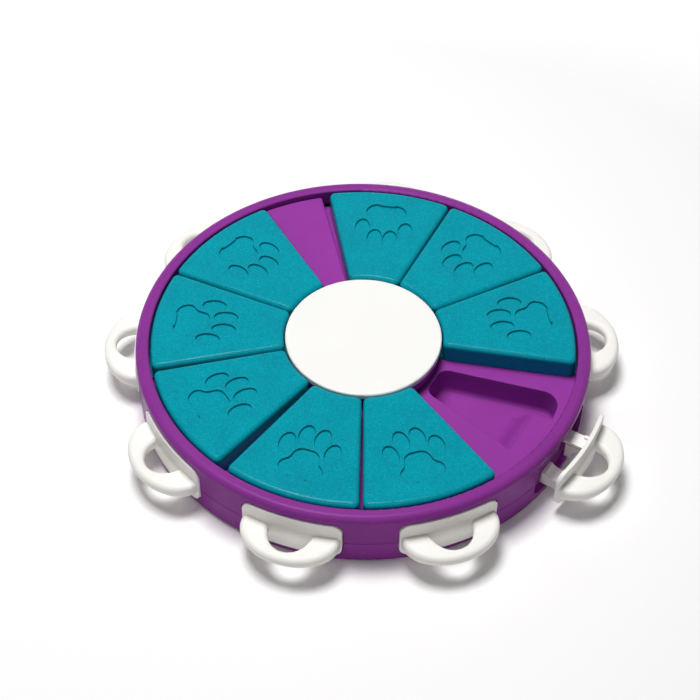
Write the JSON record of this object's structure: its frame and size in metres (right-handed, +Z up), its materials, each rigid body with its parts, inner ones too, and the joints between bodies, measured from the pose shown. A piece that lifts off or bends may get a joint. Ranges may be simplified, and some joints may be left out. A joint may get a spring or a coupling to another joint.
{
  "type": "dog treat puzzle",
  "caption": "Round treat puzzle for a dog: sliding blocks in a ring hide food pockets, and pull handles slide in and out of the side wall.",
  "frame": {"origin": "middle of the round body, on the surface that the feet stand on", "axes": "+Z up, -Y towards the side that faces the viewer; the open pocket lies 30 degrees from +X towards -Y"},
  "size_m": [0.3396, 0.3353, 0.0436],
  "materials": {
    "purple_plastic": "satin purple plastic",
    "teal_plastic": "finely grained teal plastic",
    "white_plastic": "smooth warm white plastic",
    "screw_steel": "zinc plated",
    "foot_rubber": "matt black rubber"
  },
  "bodies": {
    "base": {"base_pan": "purple_plastic", "rim_shell": "purple_plastic", "pocket_deck": "purple_plastic", "food_pocket_1": "purple_plastic", "food_pocket_2": "purple_plastic", "food_pocket_3": "purple_plastic", "food_pocket_4": "purple_plastic", "food_pocket_5": "purple_plastic", "food_pocket_6": "purple_plastic", "food_pocket_7": "purple_plastic", "food_pocket_8": "purple_plastic", "food_pocket_9": "purple_plastic", "fixed_wedge": "purple_plastic", "hub_collar": "purple_plastic", "centre_cap": "white_plastic", "rim_screws": "screw_steel", "tray_screws": "screw_steel", "hub_screws": "screw_steel", "rubber_feet": "foot_rubber"},
    "block_1": {"slider_block_1": "teal_plastic"},
    "block_2": {"slider_block_2": "teal_plastic"},
    "block_3": {"slider_block_3": "teal_plastic"},
    "block_4": {"slider_block_4": "teal_plastic"},
    "block_5": {"slider_block_5": "teal_plastic"},
    "block_6": {"slider_block_6": "teal_plastic"},
    "block_7": {"slider_block_7": "teal_plastic"},
    "block_8": {"slider_block_8": "teal_plastic"},
    "handle_1": {"pull_handle_1": "white_plastic"},
    "handle_2": {"pull_handle_2": "white_plastic"},
    "handle_3": {"pull_handle_3": "white_plastic"},
    "handle_4": {"pull_handle_4": "white_plastic"},
    "handle_5": {"pull_handle_5": "white_plastic"},
    "handle_6": {"pull_handle_6": "white_plastic"},
    "handle_7": {"pull_handle_7": "white_plastic"},
    "handle_8": {"pull_handle_8": "white_plastic"},
    "handle_9": {"pull_handle_9": "white_plastic"}
  },
  "joints": [
    {"name": "block_1_turn", "type": "hinge", "parent": "base", "child": "block_1", "pos_m": [0, 0, 0], "axis": [0, 0, 1], "range_deg": [0, 44.3]},
    {"name": "block_2_turn", "type": "hinge", "parent": "base", "child": "block_2", "pos_m": [0, 0, 0], "axis": [0, 0, 1], "range_deg": [0, 44.3]},
    {"name": "block_3_turn", "type": "hinge", "parent": "base", "child": "block_3", "pos_m": [0, 0, 0], "axis": [0, 0, 1], "range_deg": [0, 44.3]},
    {"name": "block_4_turn", "type": "hinge", "parent": "base", "child": "block_4", "pos_m": [0, 0, 0], "axis": [0, 0, 1], "range_deg": [0, 44.3]},
    {"name": "block_5_turn", "type": "hinge", "parent": "base", "child": "block_5", "pos_m": [0, 0, 0], "axis": [0, 0, 1], "range_deg": [0, 44.3]},
    {"name": "block_6_turn", "type": "hinge", "parent": "base", "child": "block_6", "pos_m": [0, 0, 0], "axis": [0, 0, 1], "range_deg": [-44.3, 0]},
    {"name": "block_7_turn", "type": "hinge", "parent": "base", "child": "block_7", "pos_m": [0, 0, 0], "axis": [0, 0, 1], "range_deg": [-44.3, 0]},
    {"name": "block_8_turn", "type": "hinge", "parent": "base", "child": "block_8", "pos_m": [0, 0, 0], "axis": [0, 0, 1], "range_deg": [-44.3, 0]},
    {"name": "handle_1_slide", "type": "slide", "parent": "base", "child": "handle_1", "axis": [0.866, -0.5, 0], "range_m": [-0.0153, 0]},
    {"name": "handle_2_slide", "type": "slide", "parent": "base", "child": "handle_2", "axis": [-0.9903, -0.1392, 0], "range_m": [-0.0138, 0.0015]},
    {"name": "handle_3_slide", "type": "slide", "parent": "base", "child": "handle_3", "axis": [-0.6947, -0.7193, 0], "range_m": [-0.0138, 0.0015]},
    {"name": "handle_4_slide", "type": "slide", "parent": "base", "child": "handle_4", "axis": [-0.1045, -0.9945, 0], "range_m": [-0.0138, 0.0015]},
    {"name": "handle_5_slide", "type": "slide", "parent": "base", "child": "handle_5", "axis": [-0.766, 0.6428, 0], "range_m": [-0.0015, 0.0138]},
    {"name": "handle_6_slide", "type": "slide", "parent": "base", "child": "handle_6", "axis": [-0.9994, 0.0349, 0], "range_m": [-0.0015, 0.0138]},
    {"name": "handle_7_slide", "type": "slide", "parent": "base", "child": "handle_7", "axis": [-0.809, -0.5878, 0], "range_m": [-0.0015, 0.0138]},
    {"name": "handle_8_slide", "type": "slide", "parent": "base", "child": "handle_8", "axis": [-0.2756, -0.9613, 0], "range_m": [-0.0015, 0.0138]},
    {"name": "handle_9_slide", "type": "slide", "parent": "base", "child": "handle_9", "axis": [0.3746, -0.9272, 0], "range_m": [-0.0015, 0.0138]}
  ],
  "couplings": [
    {"joint": "block_4_turn", "follows": "block_5_turn", "ratio": 1},
    {"joint": "block_3_turn", "follows": "block_5_turn", "ratio": 1},
    {"joint": "block_2_turn", "follows": "block_5_turn", "ratio": 1},
    {"joint": "block_1_turn", "follows": "block_5_turn", "ratio": 1},
    {"joint": "block_7_turn", "follows": "block_6_turn", "ratio": 1},
    {"joint": "block_8_turn", "follows": "block_6_turn", "ratio": 1}
  ]
}
